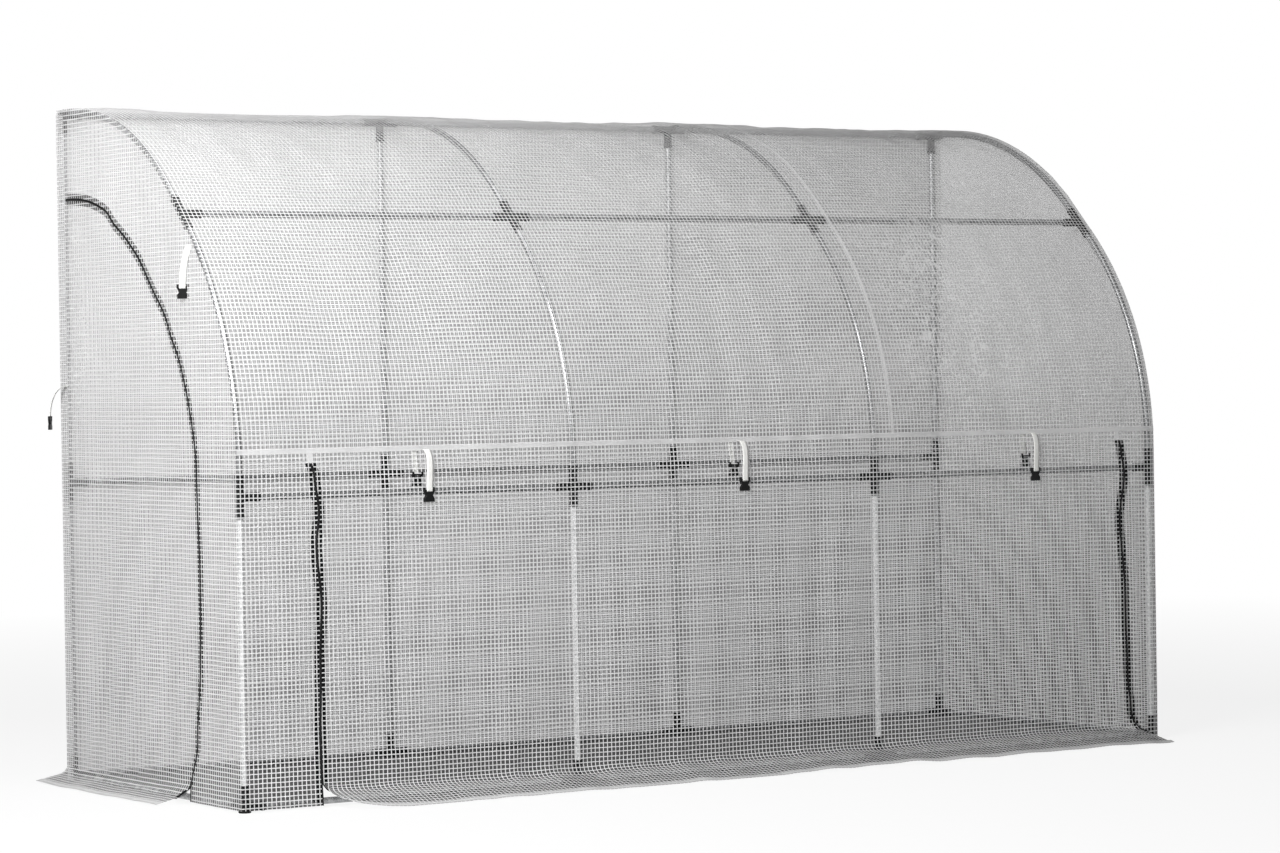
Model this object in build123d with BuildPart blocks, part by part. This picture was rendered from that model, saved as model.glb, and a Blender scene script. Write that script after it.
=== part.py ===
from build123d import *
import os
from math import radians, sin, sqrt, tan

os.makedirs("parts", exist_ok=True)

# Frame, measured on the tubes' centre lines, in millimetres
bay_count = 3
bay_length = 1100.0
arch_radius = 1145.0
leg_height = 870.0
back_leg_height = 895.0

# Steel tube
tube_diameter = 19.0
tube_wall = 1.0

# Moulded fittings that the tubes plug into
tube_fit = 0.15
socket_wall = 2.85
socket_depth = 45.0
socket_floor = 15.0
collar_wall = 1.0
hub_bulge = 0.6
collar_length = 9.0
socket_lead_in = 0.8
foot_diameter = 36.0
foot_thickness = 5.0
foot_sink = 1.0
foot_edge = 1.2
seat_gap = 0.3

# Straight stretch of an arch tube beyond its fitting, before the bend starts
bend_margin = 8.0

# Cover film
film_thickness = 1.2
seam_gap = 0.3
hem_height = 6.0
front_seam_rise = 125.0
roof_seam_setback = 30.0

# Zips
zip_tape_width = 36.0
zip_coil_width = 6.0
zip_coil_height = 3.0
front_left_zip_place = 250.0
front_right_zip_place = 115.0
door_zip_inset = 270.0

# Ground skirts
skirt_rise = 60.0
flap_skirt_reach = 150.0
door_skirt_reach = 100.0

# Tie straps, sewn in pairs into the seams, with half a side release buckle on each
strap_width = 20.0
strap_thickness = 1.4
strap_length = 110.0
inner_strap_length = 64.0
inner_strap_shift = 32.0
strap_top_drop = 10.0
strap_bay_shares = (0.545, 0.545, 0.564)
arch_strap_setback = 285.0
arch_strap_drop = 100.0
post_strap_height = 1195.0
post_strap_setback = 30.0
post_strap_reach = 48.0
post_strap_bulge = 6.0
post_strap_turn = 33

buckle_height = 41.5
buckle_width = 36.0
buckle_waist = 22.0
buckle_waist_drop = 23.5
buckle_foot_width = 34.0
buckle_foot_height = 11.0
buckle_thickness = 8.0
buckle_edge = 1.0
horn_height = 6.3
horn_width = 6.0
bar_height = 4.0
bar_slot_height = 3.0

# Sizes worked out from those above
tube_radius = tube_diameter / 2
bore_radius = tube_radius + tube_fit
arm_radius = bore_radius + socket_wall
collar_radius = arm_radius + collar_wall
hub_radius = arm_radius + hub_bulge
arm_length = socket_floor + socket_depth
tube_end = socket_floor + seat_gap
base_z = foot_thickness - foot_sink + arm_radius
foot_radius = foot_diameter / 2

# The film lies on the collars of the fittings
film_in = collar_radius + seat_gap
film_out = film_in + film_thickness

# The origin is the middle of the ground that the skirts and the feet cover
frame_length = bay_count * bay_length
first_rib_x = (film_out + door_skirt_reach - foot_radius - frame_length) / 2
rib_places = [first_rib_x + rib * bay_length for rib in range(bay_count + 1)]
last_rib_x = rib_places[-1]
front_y = (film_out + flap_skirt_reach - foot_radius - arch_radius) / 2
back_y = front_y + arch_radius
waist_z = base_z + leg_height
back_waist_z = base_z + back_leg_height
ridge_z = waist_z + arch_radius

# Each rib turns through a right angle in two equal bends, with a fitting between them
half_turn = radians(45 / 2)
tangent_length = arch_radius * tan(half_turn)
straight_end = arm_length + bend_margin
bend_radius = (tangent_length - straight_end) / tan(half_turn)
purlin_y = front_y + (arch_radius - tangent_length) / 2
purlin_z = waist_z + (arch_radius + tangent_length) / 2

left_face_x = first_rib_x - film_in
right_face_x = last_rib_x + film_in
cover_left = first_rib_x - film_out
cover_length = frame_length + 2 * film_out
seam_z = waist_z + front_seam_rise
roof_seam_y = back_y - roof_seam_setback

from_base = (Align.CENTER, Align.CENTER, Align.MIN)
along_x = Vector(1, 0, 0)
along_y = Vector(0, 1, 0)
up = Vector(0, 0, 1)
rising = Vector(0, 1, 1).normalized()


def save(builder, name):
    """Label a finished piece and write it."""
    builder.part.label = name
    export_step(builder.part, f"parts/{name}.step")
    print(name, len(builder.part.solids()))


def straight_tube(start, direction, length):
    """One hollow tube from a point along a direction."""
    with BuildPart() as tube:
        with BuildSketch(Plane(origin=start, z_dir=direction)):
            Circle(tube_radius)
            Circle(tube_radius - tube_wall, mode=Mode.SUBTRACT)
        extrude(amount=length)
    return tube.part


def bent_tube(rib_x, start, corner, finish):
    """One hollow arch tube: straight ends and one bend, in the plane of its rib."""
    with BuildPart() as tube:
        with BuildLine(Plane.YZ.offset(rib_x)) as path:
            FilletPolyline(start, corner, finish, radius=bend_radius)
        with BuildSketch(Plane(origin=path.line @ 0, z_dir=path.line % 0)):
            Circle(tube_radius)
            Circle(tube_radius - tube_wall, mode=Mode.SUBTRACT)
        sweep(path=path.line)
    return tube.part


def socket_fitting(centre, directions, standing=False):
    """One moulded fitting: a socket with a collar for each tube, and a foot on the lowest ones."""
    arms = [Plane(origin=centre, z_dir=direction) for direction in directions]
    collars = [arm.offset(arm_length - collar_length) for arm in arms]
    floors = [arm.offset(socket_floor) for arm in arms]
    mouths = [arm.offset(arm_length - socket_lead_in) for arm in arms]
    with BuildPart() as fitting:
        with Locations(*arms):
            Cylinder(arm_radius, arm_length, align=from_base)
        with Locations(centre):
            Sphere(hub_radius)
        with Locations(*collars):
            Cylinder(collar_radius, collar_length, align=from_base)
        if standing:
            with Locations((centre.X, centre.Y, 0)):
                Cylinder(foot_radius, foot_thickness, align=from_base)
            foot_rim = fitting.faces().sort_by(Axis.Z)[0].edges()
            chamfer(foot_rim, length=foot_edge)
        with Locations(*floors):
            Cylinder(bore_radius, socket_depth, align=from_base, mode=Mode.SUBTRACT)
        with Locations(*mouths):
            Cone(
                bore_radius,
                bore_radius + socket_lead_in,
                socket_lead_in,
                align=from_base,
                mode=Mode.SUBTRACT,
            )
    return fitting.part


def rail_arms(rib):
    """The directions in which a fitting on this rib holds a rail."""
    arms = []
    if rib > 0:
        arms.append(-along_x)
    if rib < bay_count:
        arms.append(along_x)
    return arms


def cover_line(offset, bottom, back_end):
    """The rib's outline set off by a distance, from the bottom of the front round to the back."""
    lift = offset * tan(half_turn)
    return (
        (front_y - offset, bottom),
        (front_y - offset, waist_z + tangent_length + lift),
        (back_y - tangent_length - lift, ridge_z + offset),
        (back_end, ridge_z + offset),
    )


def cover_band(start_x, width, inner, outer, bottom, back_end):
    """A sheet between two offsets of the rib's outline, run along the length."""
    with BuildPart() as band:
        with BuildSketch(Plane.YZ.offset(start_x)):
            with BuildLine():
                outside = FilletPolyline(*cover_line(outer, bottom, back_end), radius=bend_radius + outer)
                inside = FilletPolyline(*cover_line(inner, bottom, back_end), radius=bend_radius + inner)
                Line(outside @ 0, inside @ 0)
                Line(outside @ 1, inside @ 1)
            make_face()
        extrude(amount=width)
    return band.part


# Ribs: a front leg, two arch tubes and two lengths of back post
for rib, rib_x in enumerate(rib_places):
    leg_run = leg_height - 2 * tube_end
    low_post_run = back_leg_height - 2 * tube_end
    high_post_run = ridge_z - back_waist_z - 2 * tube_end
    slope_end = rising * tube_end
    leg = straight_tube((rib_x, front_y, base_z + tube_end), up, leg_run)
    low_post = straight_tube((rib_x, back_y, base_z + tube_end), up, low_post_run)
    high_post = straight_tube((rib_x, back_y, back_waist_z + tube_end), up, high_post_run)
    low_arch = bent_tube(
        rib_x,
        (front_y, waist_z + tube_end),
        (front_y, waist_z + tangent_length),
        (purlin_y - slope_end.Y, purlin_z - slope_end.Z),
    )
    high_arch = bent_tube(
        rib_x,
        (purlin_y + slope_end.Y, purlin_z + slope_end.Z),
        (back_y - tangent_length, ridge_z),
        (back_y - tube_end, ridge_z),
    )
    with BuildPart() as front_leg:
        add(leg)
    save(front_leg, f"rib_{rib + 1}_front_leg")
    with BuildPart() as arch:
        add([low_arch, high_arch])
    save(arch, f"rib_{rib + 1}_arch")
    with BuildPart() as back_post:
        add([low_post, high_post])
    save(back_post, f"rib_{rib + 1}_back_post")

# Rails along the length: three tubes each, between the ribs' fittings
rail_lines = {
    "ridge_rail": (back_y, ridge_z),
    "purlin_rail": (purlin_y, purlin_z),
    "front_waist_rail": (front_y, waist_z),
    "back_waist_rail": (back_y, back_waist_z),
    "front_base_rail": (front_y, base_z),
    "back_base_rail": (back_y, base_z),
}
for name, (rail_y, rail_z) in rail_lines.items():
    tubes = [
        straight_tube((rib_x + tube_end, rail_y, rail_z), along_x, bay_length - 2 * tube_end)
        for rib_x in rib_places[:-1]
    ]
    with BuildPart() as rail:
        add(tubes)
    save(rail, name)

# Base rails across the two ends
for name, rib_x in (("left_base_rail", first_rib_x), ("right_base_rail", last_rib_x)):
    tube = straight_tube((rib_x, front_y + tube_end, base_z), along_y, arch_radius - 2 * tube_end)
    with BuildPart() as rail:
        add(tube)
    save(rail, name)

# Fittings: one on each rib along each rail
fitting_lines = {
    "ridge_connectors": (back_y, ridge_z, [-along_y, -up], False),
    "purlin_connectors": (purlin_y, purlin_z, [rising, -rising], False),
    "front_waist_connectors": (front_y, waist_z, [up, -up], False),
    "back_waist_connectors": (back_y, back_waist_z, [up, -up], False),
    "front_base_connectors": (front_y, base_z, [up], True),
    "back_base_connectors": (back_y, base_z, [up], True),
}
for name, (line_y, line_z, rib_arms, standing) in fitting_lines.items():
    fittings = []
    for rib, rib_x in enumerate(rib_places):
        arms = rib_arms + rail_arms(rib)
        if standing and rib in (0, bay_count):
            arms.append(along_y if line_y == front_y else -along_y)
        fittings.append(socket_fitting(Vector(rib_x, line_y, line_z), arms, standing))
    with BuildPart() as connectors:
        add(fittings)
    save(connectors, name)

# Roof film, from the front seam over the ribs to the seam before the ridge
roof_sheet = cover_band(cover_left, cover_length, film_in, film_out, hem_height, roof_seam_y)
with BuildPart() as roof_cover:
    add(roof_sheet)
    split(bisect_by=Plane.XY.offset(seam_z + seam_gap), keep=Keep.TOP)
save(roof_cover, "roof_cover")

# Back film, from the roof seam round the ridge and down to the floor
with BuildPart() as back_panel:
    with BuildSketch(Plane.YZ.offset(cover_left)):
        with BuildLine():
            outside = FilletPolyline(
                (roof_seam_y + seam_gap, ridge_z + film_out),
                (back_y + film_out, ridge_z + film_out),
                (back_y + film_out, hem_height),
                radius=film_out,
            )
            inside = FilletPolyline(
                (roof_seam_y + seam_gap, ridge_z + film_in),
                (back_y + film_in, ridge_z + film_in),
                (back_y + film_in, hem_height),
                radius=film_in,
            )
            Line(outside @ 0, inside @ 0)
            Line(outside @ 1, inside @ 1)
        make_face()
    extrude(amount=cover_length)
save(back_panel, "back_panel")

# Front film: two fixed strips beside the zips, and the flap between them with its skirt
left_zip_x = first_rib_x + front_left_zip_place
right_zip_x = last_rib_x - front_right_zip_place
half_tape = zip_tape_width / 2
half_coil = zip_coil_width / 2
left_strip_width = left_zip_x - half_tape - seam_gap - cover_left
right_strip_x = right_zip_x + half_tape + seam_gap
right_strip_width = cover_left + cover_length - right_strip_x
front_strips = (
    ("front_left_panel", cover_left, left_strip_width),
    ("front_right_panel", right_strip_x, right_strip_width),
)
for name, start_x, width in front_strips:
    strip = cover_band(start_x, width, film_in, film_out, hem_height, roof_seam_y)
    with BuildPart() as panel:
        add(strip)
        split(bisect_by=Plane.XY.offset(seam_z), keep=Keep.BOTTOM)
    save(panel, name)

flap_x = left_zip_x + half_tape + seam_gap
flap_width = right_zip_x - half_tape - seam_gap - flap_x
flap_sheet = cover_band(flap_x, flap_width, film_in, film_out, skirt_rise, roof_seam_y)
with BuildPart() as front_flap:
    add(flap_sheet)
    split(bisect_by=Plane.XY.offset(seam_z), keep=Keep.BOTTOM)
    with BuildSketch(Plane.YZ.offset(flap_x)):
        with BuildLine():
            Polyline(
                (front_y - film_in, skirt_rise),
                (front_y - film_out, skirt_rise),
                (front_y - film_out - flap_skirt_reach, hem_height + film_thickness),
                (front_y - film_out - flap_skirt_reach, hem_height),
                (front_y - film_out, skirt_rise - film_thickness),
                (front_y - film_in, skirt_rise - film_thickness),
                close=True,
            )
        make_face()
    extrude(amount=flap_width)
save(front_flap, "front_flap")

# Front zips: a tape in the plane of the film with the coil standing out along its middle
coil_out = film_out + zip_coil_height - film_thickness
for name, zip_x in (("front_left_zip", left_zip_x), ("front_right_zip", right_zip_x)):
    tape = cover_band(zip_x - half_tape, zip_tape_width, film_in, film_out, hem_height, roof_seam_y)
    coil = cover_band(zip_x - half_coil, zip_coil_width, film_in, coil_out, hem_height, roof_seam_y)
    with BuildPart() as front_zip:
        add([tape, coil])
        split(bisect_by=Plane.XY.offset(seam_z), keep=Keep.BOTTOM)
    save(front_zip, name)

# Ends: on the left a fixed surround with a zip and a door inside it, on the right one plain film
end_back_y = back_y + film_in - seam_gap
end_edge = film_in - seam_gap
surround_inner = -(door_zip_inset - half_tape - seam_gap)
door_edge = -(door_zip_inset + half_tape + seam_gap)


def end_sheet(face_x, depth, offset, bottom):
    """The film of an end below an offset of the rib's outline, across to the back."""
    with BuildPart() as sheet:
        with BuildSketch(Plane.YZ.offset(face_x)):
            with BuildLine():
                edge = FilletPolyline(*cover_line(offset, bottom, end_back_y), radius=bend_radius + offset)
                Polyline(edge @ 0, (end_back_y, bottom), edge @ 1)
            make_face()
        extrude(amount=depth)
    return sheet.part


surround = cover_band(left_face_x, -film_thickness, surround_inner, end_edge, hem_height, end_back_y)
plain_end = end_sheet(right_face_x, film_thickness, end_edge, hem_height)
for name, sheet in (("left_end_panel", surround), ("right_end_panel", plain_end)):
    with BuildPart() as end_panel:
        add(sheet)
        top_corner = end_panel.edges().filter_by(Axis.X).group_by(Axis.Z)[-1].sort_by(Axis.Y)[-1]
        fillet(top_corner, radius=end_edge)
    save(end_panel, name)

tape_edges = (-door_zip_inset - half_tape, -door_zip_inset + half_tape)
coil_edges = (-door_zip_inset - half_coil, -door_zip_inset + half_coil)
tape = cover_band(left_face_x, -film_thickness, *tape_edges, hem_height, end_back_y)
coil = cover_band(left_face_x, -zip_coil_height, *coil_edges, hem_height, end_back_y)
with BuildPart() as door_zip:
    add([tape, coil])
save(door_zip, "left_door_zip")

door_face_x = left_face_x - film_thickness
door_sheet = end_sheet(left_face_x, -film_thickness, door_edge, skirt_rise)
with BuildPart() as door:
    add(door_sheet)
    with BuildSketch(Plane.XZ.offset(-end_back_y)):
        with BuildLine():
            Polyline(
                (left_face_x, skirt_rise),
                (door_face_x, skirt_rise),
                (door_face_x - door_skirt_reach, hem_height + film_thickness),
                (door_face_x - door_skirt_reach, hem_height),
                (door_face_x, skirt_rise - film_thickness),
                (left_face_x, skirt_rise - film_thickness),
                close=True,
            )
        make_face()
    extrude(amount=end_back_y - front_y + door_edge)
save(door, "left_door")


def flat_strap(hanging, length):
    """A strip of webbing that hangs down the face of a plane, from the plane's origin."""
    with BuildPart() as webbing:
        with BuildSketch(hanging):
            Rectangle(strap_width, length, align=(Align.CENTER, Align.MAX))
        extrude(amount=strap_thickness)
    return webbing.part


def bowed_strap(hanging, reach, drop):
    """A strip of webbing that bows out from its seam and down, in the plane of its own edge."""
    middle = (reach / 2 + post_strap_bulge, -drop / 2 + post_strap_bulge)
    with BuildPart() as webbing:
        with BuildSketch(hanging):
            with BuildLine():
                outer = ThreePointArc((0, 0), middle, (reach, -drop))
                inner = ThreePointArc(
                    (0, -strap_thickness),
                    (middle[0] - strap_thickness, middle[1] - strap_thickness),
                    (reach - strap_thickness, -drop),
                )
                Line(outer @ 0, inner @ 0)
                Line(outer @ 1, inner @ 1)
            make_face()
        extrude(amount=strap_width / 2, both=True)
    return webbing.part


def buckle_half(hanging, top):
    """Half a buckle: two horns beside the webbing, the bar that it loops on, a waist and a foot."""
    horn_top = top + horn_height
    waist = horn_top - buckle_waist_drop
    bottom = horn_top - buckle_height
    shoulder = top - bar_height
    half = [
        (buckle_width / 2 - horn_width, top),
        (buckle_width / 2 - horn_width, horn_top),
        (buckle_width / 2, horn_top),
        (buckle_width / 2, shoulder),
        (buckle_waist / 2, waist),
        (buckle_foot_width / 2, bottom + buckle_foot_height),
        (buckle_foot_width / 2, bottom),
    ]
    other_half = [(-across, along) for across, along in reversed(half)]
    with BuildPart() as buckle:
        with BuildSketch(hanging):
            with BuildLine():
                Polyline(*half, *other_half, close=True)
            make_face()
            with Locations((0, shoulder - bar_slot_height / 2)):
                Rectangle(strap_width, bar_slot_height, mode=Mode.SUBTRACT)
        extrude(amount=buckle_thickness)
        face = buckle.faces().sort_by(Axis(hanging.origin, hanging.z_dir))[-1]
        chamfer(face.outer_wire().edges(), length=buckle_edge)
    return buckle.part


# Tie straps on the front, one pair in each bay: a long one outside the flap, a short one inside
front_straps = []
front_buckles = []
strap_z = seam_z - strap_top_drop
film_bend = bend_radius + film_in
film_lean = film_bend - sqrt(film_bend**2 - (strap_z - waist_z - straight_end) ** 2)
outer_y = front_y - film_out - seam_gap
inner_y = front_y - film_in + film_lean + seam_gap
for bay, share in enumerate(strap_bay_shares):
    strap_x = rib_places[bay] + share * bay_length
    inner_x = strap_x - inner_strap_shift
    outside = Plane(origin=(strap_x, outer_y, strap_z), x_dir=along_x, z_dir=-along_y)
    inside = Plane(origin=(inner_x, inner_y, strap_z), x_dir=-along_x, z_dir=along_y)
    for hanging, length in ((outside, strap_length), (inside, inner_strap_length)):
        front_straps.append(flat_strap(hanging, length))
        front_buckles.append(buckle_half(hanging, -length - seam_gap))
with BuildPart() as straps:
    add(front_straps)
save(straps, "front_straps")
with BuildPart() as buckles:
    add(front_buckles)
save(buckles, "front_buckles")

# Tie straps on the left end: one under the arch, and one at the back post that bows out from the corner
strap_face_x = door_face_x - seam_gap
arch_anchor = (strap_face_x, front_y + arch_strap_setback, purlin_z - arch_strap_drop)
arch_hanging = Plane(origin=arch_anchor, x_dir=-along_y, z_dir=-along_x)
leaning = (-along_x).rotate(Axis.Z, -post_strap_turn)
post_x = strap_face_x - strap_width / 2 * sin(radians(post_strap_turn))
post_anchor = Vector(post_x, back_y - post_strap_setback, post_strap_height)
post_edge = Plane(origin=post_anchor, x_dir=leaning, z_dir=leaning.cross(up))
post_drop = strap_length - post_strap_reach / 2
buckle_origin = post_anchor + leaning * (post_strap_reach - buckle_thickness / 2) - up * post_drop
post_hanging = Plane(origin=buckle_origin, x_dir=up.cross(leaning), z_dir=leaning)
end_straps = [
    flat_strap(arch_hanging, strap_length),
    bowed_strap(post_edge, post_strap_reach, post_drop),
]
end_buckles = [
    buckle_half(arch_hanging, -strap_length - seam_gap),
    buckle_half(post_hanging, -seam_gap),
]
with BuildPart() as straps:
    add(end_straps)
save(straps, "left_end_straps")
with BuildPart() as buckles:
    add(end_buckles)
save(buckles, "left_end_buckles")
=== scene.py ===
# %% [markdown]
# # A lean-to tunnel greenhouse
# The real object is a frame of plugged steel tube under a cover of clear film with a grid of
# white threads laid in it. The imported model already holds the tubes, the moulded fittings and
# plain stand-ins for the cover. This lesson keeps the rigid pieces, gives them their finishes,
# and makes the cover anew as thin sheets that lie on the frame, hang and crease.

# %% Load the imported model
import math

import bmesh
import bpy
from mathutils import Matrix, Vector, noise
from mathutils.geometry import interpolate_bezier


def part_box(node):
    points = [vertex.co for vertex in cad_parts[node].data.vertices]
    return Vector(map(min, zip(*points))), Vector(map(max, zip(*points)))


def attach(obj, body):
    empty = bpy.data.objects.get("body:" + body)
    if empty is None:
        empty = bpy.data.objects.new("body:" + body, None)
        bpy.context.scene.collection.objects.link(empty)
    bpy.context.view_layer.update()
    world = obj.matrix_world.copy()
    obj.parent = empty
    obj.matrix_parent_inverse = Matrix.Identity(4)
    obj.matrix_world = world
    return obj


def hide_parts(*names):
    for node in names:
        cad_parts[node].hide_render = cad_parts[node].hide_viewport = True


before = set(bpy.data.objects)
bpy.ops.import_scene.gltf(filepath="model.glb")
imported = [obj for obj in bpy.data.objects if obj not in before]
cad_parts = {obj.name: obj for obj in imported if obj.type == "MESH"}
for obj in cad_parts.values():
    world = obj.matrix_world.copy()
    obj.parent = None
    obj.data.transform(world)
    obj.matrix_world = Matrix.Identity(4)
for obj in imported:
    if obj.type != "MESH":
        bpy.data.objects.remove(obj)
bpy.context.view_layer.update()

# %% [markdown]
# ## Sizes from the frame
# Every sheet has to lie on the tubes that carry it, so its place is read from the packed
# nodes and never typed twice. A tube's centre line is the middle of its box.


# %% Read the frame's lines
def middle(node):
    """The middle of a node's box."""
    low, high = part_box(node)
    return (low + high) / 2


rib_x = [middle(f"rib_{number}_front_leg").x for number in (1, 2, 3, 4)]
bay = rib_x[1] - rib_x[0]
front_y = middle("rib_1_front_leg").y
back_y = middle("rib_1_back_post").y
waist_z = middle("front_waist_rail").z
back_waist_z = middle("back_waist_rail").z
ridge_z = middle("ridge_rail").z
arch = ridge_z - waist_z
seam_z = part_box("roof_cover")[0].z
cover_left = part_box("roof_cover")[0].x
cover_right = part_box("roof_cover")[1].x
roof_seam_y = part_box("roof_cover")[1].y
hem_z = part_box("front_left_panel")[0].z
film_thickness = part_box("left_end_panel")[1].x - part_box("left_end_panel")[0].x
film = front_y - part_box("front_left_panel")[0].y - film_thickness / 2
end_x = {-1: middle("left_end_panel").x, 1: middle("right_end_panel").x}
print("bays of", round(bay, 3), "arch", round(arch, 3), "film stands off by", round(film, 4))

# %% [markdown]
# ## The line that the cover follows
# Seen from the end, the film climbs the front legs, turns twice through an eighth of a circle
# over the arch, goes round the ridge tube and drops down the back. A list of runs, each with
# a length and a turn, says this once. Walking along the list gives any point of the cover,
# so every sheet, seam and zip that lies on it uses the same function.


# %% Walk along a line of runs
def walk(start, runs, distance):
    """Place and heading after a distance along runs of (length, turn); heading 0 points up."""
    across, height, heading = start
    for length, turn in runs:
        step = min(distance, length)
        swing = turn * step / length
        if turn:
            radius = length / turn
            across += radius * (math.cos(heading) - math.cos(heading + swing))
            height += radius * (math.sin(heading + swing) - math.sin(heading))
        else:
            across += step * math.sin(heading)
            height += step * math.cos(heading)
        heading += swing
        distance -= step
        if distance <= 0:
            break
    return across, height, heading


bend_margin = 0.008  # an arch tube stays straight this far beyond its fitting
straight_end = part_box("front_waist_connectors")[1].z - waist_z + bend_margin
eighth = math.radians(45)
bend_radius = arch - straight_end / math.tan(eighth / 2)
bend_length = (bend_radius + film) * eighth
upright = waist_z + straight_end
arch_runs = [
    (upright, 0),
    (bend_length, eighth),
    (2 * straight_end, 0),
    (bend_length, eighth),
]
cover_runs = arch_runs + [(straight_end, 0), (film * 2 * eighth, 2 * eighth), (ridge_z, 0)]
cover_start = (front_y - film, 0.0, 0.0)
arch_length = sum(length for length, turn in arch_runs)
seam_s = upright + (bend_radius + film) * math.asin((seam_z - upright) / (bend_radius + film))
purlin_s = upright + bend_length + straight_end
ridge_s = arch_length + straight_end
roof_seam_s = arch_length + straight_end - (back_y - roof_seam_y)
back_end_s = ridge_s + film * 2 * eighth + ridge_z - hem_z
print("cover is", round(back_end_s, 3), "m round, seam at", round(seam_s, 3))

# %% [markdown]
# ## How the film drapes
# Film is tight where it crosses a tube and slack between them. Two holds, one for the ribs
# and one for the rails, are nought on a tube and one in the middle of a bay. The slack is a
# shallow belly plus creases from seeded noise: broad ones, folds that run with the pull, and
# small ones. The same function serves the sheet and everything sewn to it.


# %% Drape of the film
def ease(value, low, high):
    """Smooth step from nought at low to one at high."""
    share = min(max((value - low) / (high - low), 0.0), 1.0)
    return share * share * (3 - 2 * share)


def hold(value, places, reach):
    """Nought at the nearest of some places, one beyond the reach."""
    return ease(min(abs(value - place) for place in places), 0.0, reach)


belly = 0.011
rib_reach, rail_reach = 0.16, 0.14  # film is tight this near a tube
broad_size, fold_size, small_size = 0.006, 0.0042, 0.0016
rail_s = (waist_z, purlin_s, ridge_s)


def creases(a, b, seed):
    """Creases of a slack film at a spot on it, in metres; a runs across the pull, b along it."""
    spot = Vector((a, b, seed))
    broad = noise.noise(spot * 2.3)
    folds = 1 - 2 * abs(noise.noise(Vector((a * 7.5, b * 2.4, seed + 5))))
    small = noise.noise(Vector((a * 17, b * 11, seed + 9)))
    return broad_size * broad + fold_size * folds + small_size * small


def drape(x, s):
    """How far the cover stands off its tight line at x along the house and s round it."""
    bay_share = (x - rib_x[0]) / bay
    at_ribs = hold(x, rib_x, rib_reach)
    slack = at_ribs * hold(s, rail_s, rail_reach)
    sag = -belly * abs(math.sin(math.pi * bay_share)) * slack
    if s < waist_z:
        free = 1 - s / waist_z
        slack = at_ribs * ease(waist_z - s, 0.0, 0.2)
        sag = 0.004 * free * slack
        return sag + slack * (0.7 + free) * creases(x * 0.9, s * 0.7, 3)
    if s > ridge_s:
        slack = at_ribs * ease(s - ridge_s, 0.05, 0.3)
        back_waist_s = back_end_s + hem_z - back_waist_z
        slack *= hold(s, (back_waist_s,), rail_reach)
        return slack * creases(x, s * 0.7, 11)
    ridge_folds = noise.noise(Vector((x * 1.4, s * 8, 31))) * ease(s, purlin_s, ridge_s - 0.2)
    return sag + slack * (creases(x, s, 0) + 0.006 * ridge_folds)


def cover_point(x, s, lift=0.0):
    """A point of the cover, lifted off it by some distance."""
    y, z, heading = walk(cover_start, cover_runs, s)
    out = lift + drape(x, s)
    return Vector((x, y - out * math.cos(heading), z + out * math.sin(heading)))


print("belly", round(drape(rib_x[0] + bay / 2, (waist_z + purlin_s) / 2), 4))

# %% [markdown]
# ## Small helpers
# One function turns a web colour into the linear numbers that shaders use, and one adds a
# shader node with its settings and links. A third lays a sheet: it starts from a flat grid,
# keeps each point's place on the flat film as its UV map in metres, and then puts the point
# where the drape says.


# %% Helpers for finishes and sheets
def tint(hex_colour):
    """A web colour as linear red, green, blue and alpha."""
    parts = [int(hex_colour[place : place + 2], 16) / 255 for place in (1, 3, 5)]
    linear = [p / 12.92 if p <= 0.04045 else ((p + 0.055) / 1.055) ** 2.4 for p in parts]
    return (*linear, 1.0)


def join(tree, made, links):
    """Link sockets of a node to other sockets, or to the first output of other nodes."""
    for socket, source in dict(links).items():
        tree.links.new(getattr(source, "outputs", [source])[0], made.inputs[socket])


def node(tree, kind, links=(), **settings):
    """Add a shader node; settings name its properties or, after in_, its sockets."""
    made = tree.nodes.new("ShaderNode" + kind)
    for key, value in settings.items():
        if key.startswith("in_"):
            name = key[3:]
            made.inputs[int(name) if name.isdigit() else name.replace("_", " ")].default_value = value
        else:
            setattr(made, key, value)
    join(tree, made, links)
    return made


def finish(name):
    """A new material with its tree and its shader."""
    material = bpy.data.materials.new(name)
    material.use_nodes = True
    return material, material.node_tree, material.node_tree.nodes["Principled BSDF"]


def add_piece(name, bm, material, smooth=True):
    """Make an object of a bmesh, with its finish, riding on the frame."""
    mesh = bpy.data.meshes.new(name)
    bm.to_mesh(mesh)
    bm.free()
    mesh.polygons.foreach_set("use_smooth", [smooth] * len(mesh.polygons))
    mesh.materials.append(material)
    piece = bpy.data.objects.new(name, mesh)
    bpy.context.scene.collection.objects.link(piece)
    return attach(piece, "root")


def lay_grid(bm, columns, rows, place, cut, outward=None):
    """Lay a flat grid: place puts a point (across, along) where it lies, cut says where it was."""
    roll = bm.loops.layers.uv.get("flat") or bm.loops.layers.uv.new("flat")
    made = bmesh.ops.create_grid(bm, x_segments=columns, y_segments=rows, size=0.5)
    spots = {vert: (vert.co.x + 0.5, vert.co.y + 0.5) for vert in made["verts"]}
    faces = {face for vert in made["verts"] for face in vert.link_faces}
    for face in faces:
        for loop in face.loops:
            loop[roll].uv = cut(*spots[loop.vert])
    for vert, spot in spots.items():
        vert.co = place(*spot)
    if outward is not None:
        for face in faces:
            face.normal_update()
        if sum((face.normal.dot(outward) for face in faces), 0.0) < 0:
            bmesh.ops.reverse_faces(bm, faces=list(faces))


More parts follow.
